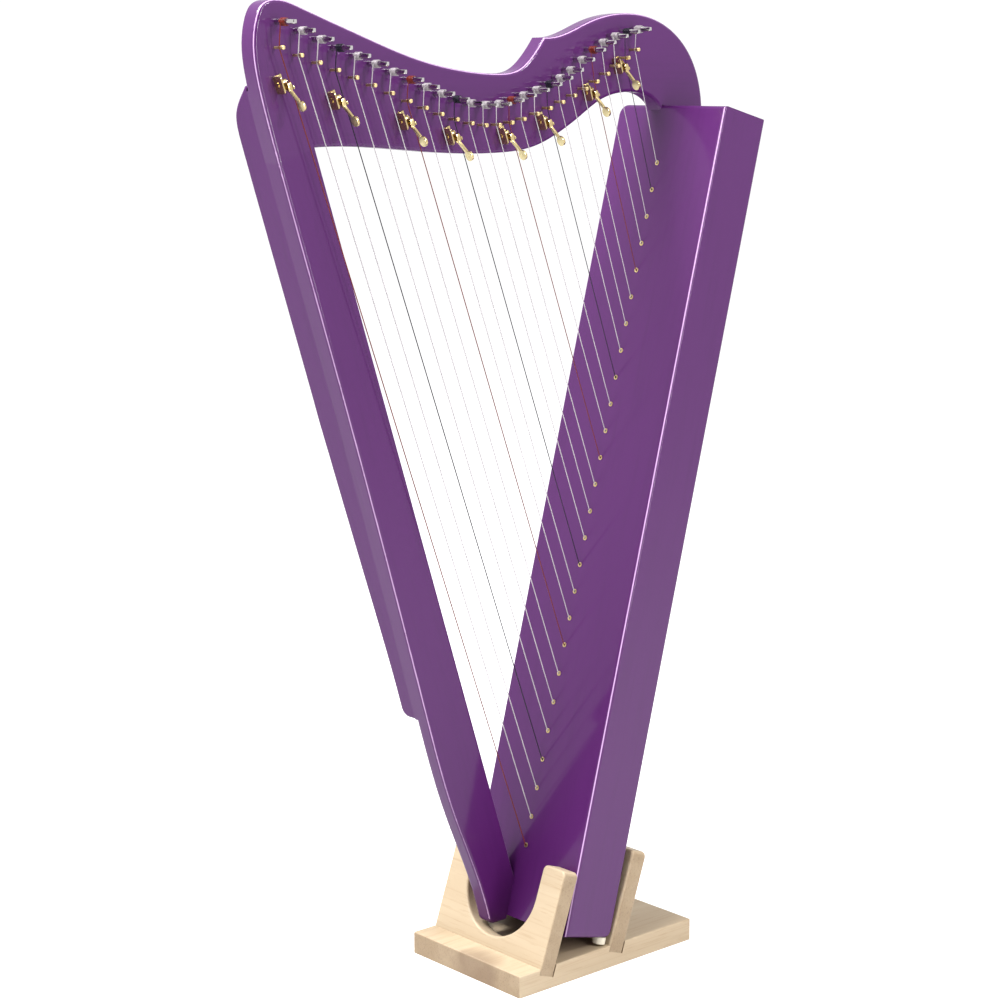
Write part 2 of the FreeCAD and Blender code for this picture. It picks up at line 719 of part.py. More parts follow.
def bridge_pin(number):
    """Brass pin with a groove for the string and a slotted, domed head."""
    centre = bridge_centre(number)
    shank = rod(centre, BRIDGE_PIN_R, BRIDGE_GROOVE_HALF, NEAR_FACE_Y + BRIDGE_PIN_IN)
    groove = rod(centre, BRIDGE_GROOVE_R, -BRIDGE_GROOVE_HALF, BRIDGE_GROOVE_HALF)
    head = rod(centre, BRIDGE_HEAD_R, BRIDGE_HEAD_END, -BRIDGE_GROOVE_HALF)
    head = round_edges(head, BRIDGE_HEAD_ROUND, lambda e: lies_at_y(e, BRIDGE_HEAD_END))
    slot = Part.makeBox(6, 0.9, BRIDGE_SLOT, V(centre.x - 3, BRIDGE_HEAD_END, centre.z - BRIDGE_SLOT / 2))
    return shank.fuse([groove, head.cut(slot)])


def tuning_pin(number):
    """Steel pin with a squared end for the tuning key and the string's winding on it."""
    centre = tuning_centre(number)
    tip = NEAR_FACE_Y - TUNING_PIN_OUT
    square_end = tip + TUNING_SQUARE_LENGTH
    shank = rod(centre, TUNING_PIN_R, square_end, NEAR_FACE_Y + TUNING_PIN_IN)
    corner = V(centre.x - TUNING_SQUARE / 2, tip, centre.z - TUNING_SQUARE / 2)
    square = Part.makeBox(TUNING_SQUARE, TUNING_SQUARE_LENGTH, TUNING_SQUARE, corner)
    square = square.common(rod(centre, TUNING_PIN_R, tip, square_end))
    coil_ends = (WINDING_CENTRE_Y - WINDING_HALF, WINDING_CENTRE_Y + WINDING_HALF)
    winding = rod(centre, WINDING_R, *coil_ends)
    winding = round_edges(winding, 0.5, lambda e: lies_at_y(e, coil_ends[0]) or lies_at_y(e, coil_ends[1]))
    return shank.fuse([square, winding])


# ================================================================ sharpening levers

def lever_point(number, across, down, out):
    """Point near a lever: square to the string, down it from the axle, and out from the neck's face."""
    start = bridge_contact(number) + down_string(number) * (LEVER_DISTANCES[number] + down)
    return start + across_string(number) * across + V(0, NEAR_FACE_Y - out, 0)


def lever_block(number, across, down, out):
    """Block between two values of each lever coordinate."""
    places = ((across[0], down[0]), (across[1], down[0]), (across[1], down[1]), (across[0], down[1]))
    corners = [lever_point(number, a, d, out[0]) for a, d in places]
    return prism(corners, V(0, out[0] - out[1], 0))


def lever_rod(number, radius, across, down=0.0, out=AXLE_OUT):
    """Round bar lying across the string's direction."""
    start = lever_point(number, across[0], down, out)
    return cylinder(radius, start, lever_point(number, across[1], down, out))


def lever_sheet(number, points, left, right):
    """Flat piece square to the axle, from (down, out) points measured from the axle."""
    outline = [lever_point(number, left, down, AXLE_OUT + out) for down, out in points]
    return prism(outline, across_string(number) * (right - left))


def lever_bracket(number):
    """Folded brass bracket: side plate, two flanges on the neck, an ear and the fret."""
    edge = PLATE_LEFT + SHEET
    plate = lever_block(number, (PLATE_LEFT, edge), (BRACKET_TOP, BRACKET_BOTTOM), (0, BRACKET_OUT))
    square = across_string(number)
    plate = round_edges(plate, 2.0, lambda e: runs_along(e, square) and e.CenterOfMass.y < 0)
    top = lever_block(number, (edge, TOP_FLANGE_RIGHT), (BRACKET_TOP, TOP_FLANGE_DOWN), (0, SHEET))
    low = lever_block(number, (edge, EAR_LEFT + SHEET), (LOW_FLANGE_DOWN, BRACKET_BOTTOM), (0, SHEET))
    ear = lever_block(number, (EAR_LEFT, EAR_LEFT + SHEET), (LOW_FLANGE_DOWN, BRACKET_BOTTOM),
                      (SHEET, EAR_OUT))
    ear = round_edges(ear, 1.2, lambda e: runs_along(e, square) and e.CenterOfMass.y < 2)
    fret = lever_block(number, (FRET_LEFT, EAR_LEFT), FRET_DOWN, (SHEET, FRET_OUT))
    bracket = plate.fuse([top, low, ear, fret]).removeSplitter()
    return bracket.cut([lever_rod(number, AXLE_R, (PLATE_LEFT - 1, edge + 1)), screw_shank(number)])


def screw_shank(number):
    return cylinder(SCREW_R, lever_point(number, SCREW_ACROSS, SCREW_DOWN, -SCREW_IN),
                    lever_point(number, SCREW_ACROSS, SCREW_DOWN, SHEET))


def lever_screw(number):
    """Round-headed screw that holds the bracket to the neck."""
    base = lever_point(number, SCREW_ACROSS, SCREW_DOWN, SHEET)
    head = cylinder(SCREW_HEAD_R, base, base - V(0, SCREW_HEAD, 0))
    head = round_edges(head, 0.6, lambda e: lies_at_y(e, base.y - SCREW_HEAD))
    slot = lever_block(number, (SCREW_ACROSS - 3, SCREW_ACROSS + 3), (SCREW_DOWN - 0.25, SCREW_DOWN + 0.25),
                       (SHEET + 0.6, SHEET + 2))
    return head.fuse(screw_shank(number)).cut(slot)


def lever_axle(number):
    """Riveted axle with a head outside the plate, a spacing collar and a small retaining head."""
    edge = PLATE_LEFT + SHEET
    shank = lever_rod(number, AXLE_R, (PLATE_LEFT, HUB_RIGHT + 0.1))
    outer = lever_rod(number, AXLE_HEAD_R, (PLATE_LEFT - AXLE_HEAD, PLATE_LEFT))
    collar = lever_rod(number, AXLE_HEAD_R, (edge, HUB_LEFT - 0.1))
    inner = lever_rod(number, AXLE_HEAD_R, (HUB_RIGHT + 0.1, HUB_RIGHT + 0.1 + AXLE_HEAD))
    return shank.fuse([outer, collar, inner])


def lever_handle(number):
    """Cam, handle and round thumb paddle in one piece; it turns on the axle."""
    hub = lever_rod(number, HUB_R, (HUB_LEFT, HUB_RIGHT))
    cam = lever_sheet(number, CAM_CORNERS, HUB_LEFT, HUB_RIGHT)
    run = V(HANDLE_END[0] - HANDLE_START[0], HANDLE_END[1] - HANDLE_START[1], 0).normalize()
    side = (-run.y * HANDLE_HALF, run.x * HANDLE_HALF)
    ends = (HANDLE_START, HANDLE_END)
    bar = [(x + side[0], y + side[1]) for x, y in ends] + [(x - side[0], y - side[1]) for x, y in ends[::-1]]
    handle = lever_sheet(number, bar, HANDLE_LEFT, HANDLE_RIGHT)
    paddle = lever_rod(number, PADDLE_R, (HANDLE_LEFT, HANDLE_RIGHT), PADDLE_CENTRE[0],
                       AXLE_OUT + PADDLE_CENTRE[1])
    bore = lever_rod(number, AXLE_R + PIN_CLEARANCE, (HUB_LEFT - 1, HUB_RIGHT + 1))
    return hub.fuse([cam, handle, paddle]).removeSplitter().cut(bore)


# ================================================================ assembly

def make_strings_and_pins():
    groups = {"strings_natural": [], "strings_red": [], "strings_dark": []}
    for number in STRINGS:
        colour = "red" if number in RED_STRINGS else "dark" if number in DARK_STRINGS else "natural"
        groups["strings_" + colour].append(harp_string(number))
        export("tuning_pin_%02d" % number, tuning_pin(number))
    for name, solids in groups.items():
        export(name, solids)
    export("bridge_pins", [bridge_pin(number) for number in STRINGS])
    export("string_eyelets", [eyelet(hole_place(number)) for number in STRINGS])


def make_levers():
    numbers = sorted(LEVER_DISTANCES)
    export("lever_brackets", [lever_bracket(number) for number in numbers])
    export("lever_screws", [lever_screw(number) for number in numbers])
    export("lever_axles", [lever_axle(number) for number in numbers])
    for place, number in enumerate(numbers, 1):
        export("lever_%02d" % place, lever_handle(number))


def make_pin_bores():
    """Everything bored into the neck: tuning pins, bridge pins and lever screws."""
    bores = []
    tuning_end = NEAR_FACE_Y + TUNING_PIN_IN + 0.1
    for number in STRINGS:
        bores.append(rod(tuning_centre(number), TUNING_PIN_R + PIN_CLEARANCE, 0, tuning_end))
        bores.append(rod(bridge_centre(number), BRIDGE_PIN_R, 0, NEAR_FACE_Y + BRIDGE_PIN_IN))
    return bores + [screw_shank(number) for number in LEVER_DISTANCES]


if __name__ == "__main__":
    os.makedirs("parts", exist_ok=True)
    dowels = frame_dowels()
    make_stand()
    make_soundbox(dowels)
    make_frame(dowels, make_pin_bores())
    make_strings_and_pins()
    make_levers()
    export("base_bumpers", [bumper(-1), bumper(1)])
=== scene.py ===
"""Looks of the purple lap harp in its wooden stand: materials, finer metalwork, light and camera."""

import bmesh
import bpy
import json
import math
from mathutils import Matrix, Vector


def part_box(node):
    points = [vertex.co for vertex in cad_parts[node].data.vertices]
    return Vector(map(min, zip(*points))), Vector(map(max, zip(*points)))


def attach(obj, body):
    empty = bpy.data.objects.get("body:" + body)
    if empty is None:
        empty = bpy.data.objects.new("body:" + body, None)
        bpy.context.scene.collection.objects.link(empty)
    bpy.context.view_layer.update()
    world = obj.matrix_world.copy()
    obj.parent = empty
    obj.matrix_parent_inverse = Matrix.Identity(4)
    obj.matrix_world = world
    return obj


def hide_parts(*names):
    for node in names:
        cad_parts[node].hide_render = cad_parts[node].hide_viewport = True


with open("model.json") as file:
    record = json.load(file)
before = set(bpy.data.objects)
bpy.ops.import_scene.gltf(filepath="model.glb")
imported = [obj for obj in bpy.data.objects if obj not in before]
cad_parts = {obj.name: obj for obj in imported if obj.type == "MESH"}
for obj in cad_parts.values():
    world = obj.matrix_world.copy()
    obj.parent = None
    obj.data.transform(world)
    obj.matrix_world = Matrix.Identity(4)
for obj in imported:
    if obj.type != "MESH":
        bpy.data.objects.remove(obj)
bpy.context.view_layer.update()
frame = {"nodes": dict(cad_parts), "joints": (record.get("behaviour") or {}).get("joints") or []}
nodes = frame["nodes"]

# ---------------------------------------------------------------- lean of the grain from upright, about Y
BOARD_TILT = math.radians(14.55)
PILLAR_TILT = math.radians(-18.0)
NECK_TILT = math.radians(90.0)

# ---------------------------------------------------------------- colours, linear
PURPLE = (0.050, 0.0036, 0.070)
PURPLE_DEEP = (0.042, 0.0026, 0.060)
PURPLE_LIGHT = (0.057, 0.0048, 0.079)
# painted highlight: pale colour given to the middle of the lacquer's rounded edges in place of the lamps'
# shine
PAINTED_EDGE_HIGHLIGHT = (0.44, 0.28, 0.48)
MAPLE = (0.385, 0.305, 0.208)
MAPLE_DARK = (0.285, 0.205, 0.124)
END_GRAIN = (0.200, 0.138, 0.080)
HEARTWOOD = (0.125, 0.075, 0.045)
BRASS = (0.62, 0.48, 0.24)
PADDLE_TAN = (0.50, 0.43, 0.24)
NICKEL = (0.58, 0.56, 0.56)
STEEL = (0.55, 0.55, 0.56)
NYLON = (0.36, 0.33, 0.35)
NYLON_COILED = (0.24, 0.21, 0.23)
RED = (0.115, 0.014, 0.010)
DARK = (0.012, 0.010, 0.018)
CREAM = (0.55, 0.50, 0.40)

# ---------------------------------------------------------------- lacquer and wood
FULL_COAT = 0.5
PILLAR_COAT = 0.36
BACKER_COAT = 0.18
HIGHLIGHT_MIDDLE = 0.62      # sideways part of the normal in the middle of a rounded edge, where the painted highlight is centred
HIGHLIGHT_REACH = 0.19       # how far the sideways part may be from that before the painted highlight ends
ALONG_GRAIN = 0.06      # stretch of the wood's figure along the grain
HEART_MIDDLE = (-0.112, -0.012, 0.002)      # heartwood patch on the base plate's end
HEART_REACH = 0.034

# ================================================================ material helpers

def material(name):
    """New material with only a Principled shader and an output: (material, tree, shader)."""
    made = bpy.data.materials.new(name)
    made.use_nodes = True
    tree = made.node_tree
    tree.nodes.clear()
    shader = tree.nodes.new("ShaderNodeBsdfPrincipled")
    output = tree.nodes.new("ShaderNodeOutputMaterial")
    tree.links.new(shader.outputs["BSDF"], output.inputs["Surface"])
    return made, tree, shader


def node(tree, kind, settings=(), inputs=()):
    """New node with its attributes and unlinked input values set."""
    made = tree.nodes.new(kind)
    for name, value in dict(settings).items():
        setattr(made, name, value)
    for name, value in dict(inputs).items():
        made.inputs[name].default_value = value
    return made


def grain_space(tree, tilt, scale):
    """Object coordinates turned about Y so that Z runs with the grain, then scaled."""
    coords = node(tree, "ShaderNodeTexCoord")
    turn = node(tree, "ShaderNodeMapping", {"vector_type": "POINT"}, {"Rotation": (0, -tilt, 0)})
    stretch = node(tree, "ShaderNodeMapping", {"vector_type": "POINT"}, {"Scale": scale})
    tree.links.new(coords.outputs["Object"], turn.inputs["Vector"])
    tree.links.new(turn.outputs["Vector"], stretch.inputs["Vector"])
    return stretch.outputs["Vector"]


def constant(tree, value):
    """Output socket that gives one number."""
    made = node(tree, "ShaderNodeValue")
    made.outputs[0].default_value = value
    return made.outputs[0]


def solid(tree, colour):
    """Output socket that gives one linear colour."""
    made = node(tree, "ShaderNodeRGB")
    made.outputs[0].default_value = (*colour, 1)
    return made.outputs[0]


def noise(tree, vector, scale, detail, roughness, distortion=0.0):
    """Output socket of a noise field, about 0.5 on average."""
    settings = {"Scale": scale, "Detail": detail, "Roughness": roughness, "Distortion": distortion}
    made = node(tree, "ShaderNodeTexNoise", (), settings)
    tree.links.new(vector, made.inputs["Vector"])
    return made.outputs["Fac"]


def ramp(tree, factor, stops):
    """Colour ramp; stops are (position, linear colour)."""
    made = node(tree, "ShaderNodeValToRGB")
    elements = made.color_ramp.elements
    while len(elements) < len(stops):
        elements.new(0.5)
    for element, (position, colour) in zip(elements, stops):
        element.position = position
        element.color = (*colour, 1)
    tree.links.new(factor, made.inputs["Fac"])
    return made.outputs["Color"]


def mix(tree, factor, first, second):
    """Blend of two colours: the first at factor 0 and the second at factor 1."""
    made = node(tree, "ShaderNodeMix", {"data_type": "RGBA", "blend_type": "MIX"})
    tree.links.new(factor, made.inputs["Factor"])
    tree.links.new(first, made.inputs[6])
    tree.links.new(second, made.inputs[7])
    return made.outputs[2]


def spread(tree, value, start, end, start_value=0.0, end_value=1.0):
    """Value mapped from start..end to start_value..end_value, and held beyond both ends."""
    settings = {"From Min": start, "From Max": end, "To Min": start_value, "To Max": end_value}
    made = node(tree, "ShaderNodeMapRange", (), settings)
    tree.links.new(value, made.inputs["Value"])
    return made.outputs["Result"]


def calculate(tree, operation, first, second=None):
    """Result of a Math node on one or two sockets."""
    made = node(tree, "ShaderNodeMath", {"operation": operation})
    tree.links.new(first, made.inputs[0])
    if second is not None:
        tree.links.new(second, made.inputs[1])
    return made.outputs[0]


def normal_parts(tree, which):
    """Separate X, Y and Z sockets of the surface's "Normal" or "True Normal"."""
    geometry = node(tree, "ShaderNodeNewGeometry")
    parts = node(tree, "ShaderNodeSeparateXYZ")
    tree.links.new(geometry.outputs[which], parts.inputs["Vector"])
    return parts.outputs


def bump(tree, shader, height, strength, distance):
    """Fine relief on a shader, from a height field."""
    made = node(tree, "ShaderNodeBump", (), {"Strength": strength, "Distance": distance})
    tree.links.new(height, made.inputs["Height"])
    tree.links.new(made.outputs["Normal"], shader.inputs["Normal"])


def painted_highlight_mask(tree):
    """Mask of the painted highlight: 1 along the middle of the rounded edges between the broad faces and
    the rim, and 0 on flat faces and on edges that look down, away from the lamps."""
    normal = normal_parts(tree, "Normal")
    sideways = calculate(tree, "ABSOLUTE", normal["Y"])
    away = calculate(tree, "SUBTRACT", sideways, constant(tree, HIGHLIGHT_MIDDLE))
    on_edge = spread(tree, calculate(tree, "ABSOLUTE", away), HIGHLIGHT_REACH, 0.3 * HIGHLIGHT_REACH)
    not_below = spread(tree, normal["Z"], -0.35, -0.2)
    return calculate(tree, "MULTIPLY", on_edge, not_below)


def lacquer(name, tilt, coat):
    """Glossy purple lacquer with a faint wood figure along the grain, and a painted highlight along its
    rounded edges: a paler colour there that stands in for the lamps' shine.
    """
    made, tree, shader = material(name)
    fine = noise(tree, grain_space(tree, tilt, (1, 1, ALONG_GRAIN)), 160, 4, 0.6)
    broad = noise(tree, grain_space(tree, tilt, (1, 1, 0.25)), 9, 2, 0.5)
    pores = ramp(tree, fine, ((0.3, PURPLE_DEEP), (0.5, PURPLE)))
    clouds = ramp(tree, broad, ((0.35, PURPLE), (0.7, PURPLE_LIGHT)))
    figured = mix(tree, constant(tree, 0.5), pores, clouds)
    # painted highlight: a pale colour on the rounded edges stands in for the lamps' shine there
    colour = mix(tree, painted_highlight_mask(tree), figured, solid(tree, PAINTED_EDGE_HIGHLIGHT))
    tree.links.new(colour, shader.inputs["Base Color"])
    shader.inputs["Roughness"].default_value = 0.55
    shader.inputs["Specular IOR Level"].default_value = 0.16
    shader.inputs["Coat Weight"].default_value = coat
    shader.inputs["Coat Roughness"].default_value = 0.1
    shader.inputs["Coat IOR"].default_value = 1.5
    ripples = noise(tree, grain_space(tree, tilt, (1, 1, 0.3)), 60, 2, 0.5)
    bump(tree, shader, ripples, 0.04, 0.0005)
    return made


def growth_rings(tree, space, grain):
    """Soft growth rings round an axis that runs along the grain."""
    pith = (0, 0.03, 0.085) if grain == "X" else (0.05, 0, -0.06)
    shifted = node(tree, "ShaderNodeMapping", {"vector_type": "POINT"}, {"Location": pith})
    tree.links.new(space.outputs["Vector"], shifted.inputs["Vector"])
    kind = {"wave_type": "RINGS", "rings_direction": grain, "wave_profile": "SAW"}
    shape = {"Scale": 44, "Distortion": 7, "Detail": 3, "Detail Scale": 0.35, "Detail Roughness": 0.55}
    rings = node(tree, "ShaderNodeTexWave", kind, shape)
    tree.links.new(shifted.outputs["Vector"], rings.inputs["Vector"])
    return ramp(tree, rings.outputs["Fac"], ((0.82, MAPLE), (0.97, MAPLE_DARK)))


def maple(name, grain, heart=False):
    """Pale satin maple with its grain along axis "X" or "Y": growth rings, fine dark flecks and browner end
    grain, and a streak of heartwood where heart is true."""
    made, tree, shader = material(name)
    stretch = (ALONG_GRAIN, 1, 1) if grain == "X" else (1, ALONG_GRAIN, 1)
    coords = node(tree, "ShaderNodeTexCoord")
    space = node(tree, "ShaderNodeMapping", {"vector_type": "POINT"}, {"Scale": stretch})
    tree.links.new(coords.outputs["Object"], space.inputs["Vector"])
    fine = noise(tree, space.outputs["Vector"], 520, 3, 0.6)
    cloud = noise(tree, space.outputs["Vector"], 26, 3, 0.6, 0.8)
    clouds = ramp(tree, cloud, ((0.38, MAPLE), (0.66, MAPLE_DARK)))
    colour = mix(tree, constant(tree, 0.35), clouds, growth_rings(tree, space, grain))
    flecks = ramp(tree, fine, ((0.36, MAPLE_DARK), (0.44, MAPLE)))
    colour = mix(tree, constant(tree, 0.3), colour, flecks)
    colour = mix(tree, facing(tree, grain), colour, end_grain(tree, coords, colour))
    if heart:
        colour = mix(tree, heart_streak(tree, coords, space), colour, solid(tree, HEARTWOOD))
    tree.links.new(colour, shader.inputs["Base Color"])
    shader.inputs["Roughness"].default_value = 0.5
    shader.inputs["Specular IOR Level"].default_value = 0.3
    bump(tree, shader, fine, 0.15, 0.0002)
    return made


def facing(tree, axis):
    """1 where the surface is square to the axis and 0 where it runs along it."""
    part = normal_parts(tree, "True Normal")[axis]
    return spread(tree, calculate(tree, "MULTIPLY", part, part), 0.3, 0.9)


def end_grain(tree, coords, colour):
    """Browner, speckled version of the wood's colour."""
    specks = noise(tree, coords.outputs["Object"], 700, 3, 0.7)
    blotches = noise(tree, coords.outputs["Object"], 38, 3, 0.55, 0.6)
    brown = ramp(tree, specks, ((0.34, HEARTWOOD), (0.47, END_GRAIN)))
    patchy = ramp(tree, blotches, ((0.40, MAPLE), (0.62, END_GRAIN)))
    blended = mix(tree, constant(tree, 0.75), patchy, brown)
    return mix(tree, constant(tree, 0.2), blended, colour)


def heart_streak(tree, coords, space):
    """Mask of a wavy patch of heartwood round HEART_MIDDLE."""
    wave = node(tree, "ShaderNodeTexNoise", (), {"Scale": 30.0, "Detail": 3.0})
    tree.links.new(space.outputs["Vector"], wave.inputs["Vector"])
    shake = node(tree, "ShaderNodeVectorMath", {"operation": "MULTIPLY_ADD"})
    shake.inputs[1].default_value = (0.0, 0.05, 0.05)
    shake.inputs[2].default_value = (0.0, -0.025, -0.025)
    tree.links.new(wave.outputs["Color"], shake.inputs[0])
    moved = node(tree, "ShaderNodeVectorMath", {"operation": "ADD"})
    tree.links.new(coords.outputs["Object"], moved.inputs[0])
    tree.links.new(shake.outputs["Vector"], moved.inputs[1])
    offset = node(tree, "ShaderNodeVectorMath", {"operation": "SUBTRACT"})
    offset.inputs[1].default_value = HEART_MIDDLE
    tree.links.new(moved.outputs["Vector"], offset.inputs[0])
    length = node(tree, "ShaderNodeVectorMath", {"operation": "LENGTH"})
    tree.links.new(offset.outputs["Vector"], length.inputs[0])
    return spread(tree, length.outputs["Value"], HEART_REACH * 0.55, HEART_REACH, 0.5, 0.0)


def metal(name, colour, roughness):
    """Polished metal with very faint smears."""
    made, tree, shader = material(name)
    coords = node(tree, "ShaderNodeTexCoord")
    smear = noise(tree, coords.outputs["Object"], 180, 2, 0.5)
    smeared = spread(tree, smear, 0.3, 0.7, roughness * 0.7, roughness * 1.3)
    tree.links.new(smeared, shader.inputs["Roughness"])
    shader.inputs["Base Color"].default_value = (*colour, 1)
    shader.inputs["Metallic"].default_value = 1.0
    return made


def nylon(name, colour, gloss):
    """Smooth nylon string."""
    made, tree, shader = material(name)
    coords = node(tree, "ShaderNodeTexCoord")
    tone = noise(tree, coords.outputs["Object"], 40, 1, 0.5)
    darker = tuple(value * 0.85 for value in colour)
    tree.links.new(ramp(tree, tone, ((0.3, darker), (0.7, colour))), shader.inputs["Base Color"])
    shader.inputs["Roughness"].default_value = 0.3
    shader.inputs["Specular IOR Level"].default_value = gloss
    return made


def soft_rubber(name, colour):
    """Matt rubber with a fine grain."""
    made, tree, shader = material(name)
    coords = node(tree, "ShaderNodeTexCoord")
    grain = noise(tree, coords.outputs["Object"], 900, 2, 0.6)
    darker = tuple(value * 0.88 for value in colour)
    tree.links.new(ramp(tree, grain, ((0.3, darker), (0.7, colour))), shader.inputs["Base Color"])
    shader.inputs["Roughness"].default_value = 0.55
    return made


# ================================================================ materials on the CAD nodes

looks = {
    "lacquer_box": lacquer("lacquer_box", BOARD_TILT, FULL_COAT),
    "lacquer_pillar": lacquer("lacquer_pillar", PILLAR_TILT, PILLAR_COAT),
    "lacquer_backer": lacquer("lacquer_backer", PILLAR_TILT, BACKER_COAT),
    "lacquer_neck": lacquer("lacquer_neck", NECK_TILT, FULL_COAT),
    "maple_base": maple("maple_base", "X", True),
    "maple_fork": maple("maple_fork", "Y"),
    "raw_wood": maple("raw_wood", "Y"),
    "brass": metal("brass", BRASS, 0.2),
    "brass_dull": metal("brass_dull", BRASS, 0.38),
    "paddle": metal("paddle", PADDLE_TAN, 0.42),
    "nickel": metal("nickel", NICKEL, 0.13),
    "steel": metal("steel", STEEL, 0.35),
    "nylon_clear": nylon("nylon_clear", NYLON, 0.5),
    "nylon_coiled": nylon("nylon_coiled", NYLON_COILED, 0.5),
    "nylon_red": nylon("nylon_red", RED, 0.15),
    "nylon_dark": nylon("nylon_dark", DARK, 0.08),
    "rubber_cream": soft_rubber("rubber_cream", CREAM),
}
NODE_LOOKS = {
    "lacquer_box": ("soundboard", "soundbox_near_side", "soundbox_far_side", "soundbox_back",
                    "soundbox_top_block", "soundbox_foot_block"),
    "lacquer_pillar": ("pillar",),
    "lacquer_backer": ("pillar_backer",),
    "lacquer_neck": ("neck",),
    "maple_base": ("stand_base",),
    "maple_fork": ("stand_front_fork", "stand_rear_fork"),
    "raw_wood": ("string_rib", "back_braces", "frame_dowels"),
    "brass": ("lever_brackets", "lever_screws", "lever_axles"),
    "brass_dull": ("string_eyelets", "bridge_pins"),
    "steel": ("stand_screws",),
    "nylon_clear": ("strings_natural",),
    "nylon_red": ("strings_red",),
    "nylon_dark": ("strings_dark",),
    "rubber_cream": ("base_bumpers",),
}
for look, names in NODE_LOOKS.items():
    for name in names:
        nodes[name].data.materials.clear()
        nodes[name].data.materials.append(looks[look])


# ================================================================ finer pieces over the CAD's plain ones

JOINTS = {joint["name"]: joint for joint in frame["joints"]}
STRING_COUNT = 26
LEVER_COUNT = 8
RED_STRINGS = (1, 8, 15, 22)
DARK_STRINGS = (4, 11, 18, 25)
PIN_R = 0.00245
PIN_HALF_SQUARE = 0.00195
PIN_SQUARE_LENGTH = 0.0085
PIN_CHAMFER = 0.0005
COIL_OUTER_R = 0.00329
COIL_HALF = 0.0038
COIL_CENTRE_Y = -0.0024
BASS_WIRE_R = 0.00046
TREBLE_WIRE_R = 0.00034
COIL_TURNS = 6
COIL_STEPS = 18
PADDLE_DOWN = 0.0191
PADDLE_OUT = 0.0147
INLAY_R = 0.004625
LEVER_BEVEL = 0.00022


def place_piece(name, mesh, look, smooth_angle):
    """Object for a new mesh, smooth except at edges sharper than the angle."""
    piece = bpy.data.objects.new(name, mesh)
    bpy.context.scene.collection.objects.link(piece)
    mesh.materials.append(looks[look])
    for face in mesh.polygons:
        face.use_smooth = True
    mesh.set_sharp_from_angle(angle=math.radians(smooth_angle))
    return piece


def make_piece(name, shape, look, smooth_angle):
    """New object from its vertices and faces."""
    vertices, faces = shape
    mesh = bpy.data.meshes.new(name)
    mesh.from_pydata(vertices, [], faces)
    mesh.validate()
    return place_piece(name, mesh, look, smooth_angle)


def loft(rings):
    """Vertices and faces joining closed rings of equal length, with both ends filled."""
    count = len(rings[0])
    vertices = [point for ring in rings for point in ring]
    faces = [tuple(range(count))[::-1], tuple(range(len(vertices) - count, len(vertices)))]
    for row in range(len(rings) - 1):
        for k in range(count):
            low = row * count
            after = (k + 1) % count
            faces.append((low + k, low + after, low + count + after, low + count + k))
    return vertices, faces


def squared_ring(centre, y, round_r, half_square, sides=32):
    """Ring around the Y axis: a square with its corners cut by a circle, or the circle alone."""
    ring = []
    for k in range(sides):
        turn = 2 * math.pi * (k + 0.5) / sides
        reach = min(round_r, half_square / max(abs(math.cos(turn)), abs(math.sin(turn))))
        ring.append((centre.x + reach * math.cos(turn), y, centre.z + reach * math.sin(turn)))
    return ring


def circle_angles(sides):
    return [2 * math.pi * k / sides for k in range(sides)]


def tube(points, radius, sides):
    """Round tube along a path of points."""
    rings = []
    for k, point in enumerate(points):
        before = points[max(k - 1, 0)]
        after = points[min(k + 1, len(points) - 1)]
        along = (after - before).normalized()
        side = along.cross(Vector((0, 1, 0))).normalized()
        over = side.cross(along)
        rings.append([tuple(point + (side * math.cos(angle) + over * math.sin(angle)) * radius)
                      for angle in circle_angles(sides)])
    return loft(rings)


def coil_look(number):
    """Look and material slot of a string's turns round its pin."""
    if number in RED_STRINGS:
        return "nylon_red", "string_red"
    if number in DARK_STRINGS:
        return "nylon_dark", "string_dark"
    return "nylon_coiled", "string_clear"


def make_pin(number):
    """Tuning pin with a tapered, chamfered square end."""
    body = "tuning_pin_%02d" % number
    centre = Vector(JOINTS[body + "_turn"]["pos_m"])
    low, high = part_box(body)
    tip = low[1]
    root = high[1]
    square_root = tip + PIN_SQUARE_LENGTH
    sections = (
        (tip, 0.62 * PIN_R, 0.66 * PIN_HALF_SQUARE),
        (tip + PIN_CHAMFER, 0.84 * PIN_R, 0.84 * PIN_HALF_SQUARE),
        (square_root - 0.0016, PIN_R, PIN_HALF_SQUARE),
        (square_root, PIN_R, PIN_R),
        (square_root + 0.0003, PIN_R, PIN_R),
        (root - 0.0004, PIN_R, PIN_R),
        (root, 0.8 * PIN_R, PIN_R),
    )
    rings = [squared_ring(centre, y, round_r, half_square) for y, round_r, half_square in sections]
    piece = make_piece("pin_%02d" % number, loft(rings), "nickel", 32.0)
    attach(piece, body)
    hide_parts(body)
    return centre


def coil_points(number, centre, wire):
    """Slightly uneven turns along a tuning pin, from the neck towards its square end."""
    reach = COIL_OUTER_R - wire
    travel = 2 * (COIL_HALF - wire)
    points = []
    for k in range(COIL_TURNS * COIL_STEPS + 1):
        turn = 2 * math.pi * k / COIL_STEPS
        along = k / (COIL_TURNS * COIL_STEPS)
        uneven = 0.03 * math.sin(along * 9.0 + number)
        y = COIL_CENTRE_Y + travel * (0.5 - along + uneven * math.sin(math.pi * along))
        points.append(Vector((centre.x - reach * math.cos(turn), y, centre.z + reach * math.sin(turn))))
    return points


def make_winding(number, centre):
    """Turns of the string round its tuning pin, with its cut end standing out of the last turn."""
    share = (number - 1) / (STRING_COUNT - 1)
    wire = BASS_WIRE_R + (TREBLE_WIRE_R - BASS_WIRE_R) * share
    points = coil_points(number, centre, wire)
    last = points[-1]
    lean = 0.7 + 0.9 * math.sin(number * 2.4)
    points.append(last + Vector((-0.0002, -0.0004, 0.0008)))
    points.append(last + Vector((-0.0010 * lean, -0.0011, 0.0020)))
    look, slot = coil_look(number)
    piece = make_piece("winding_%02d" % number, tube(points, wire, 7), look, 80.0)
    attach(piece, "tuning_pin_%02d" % number)


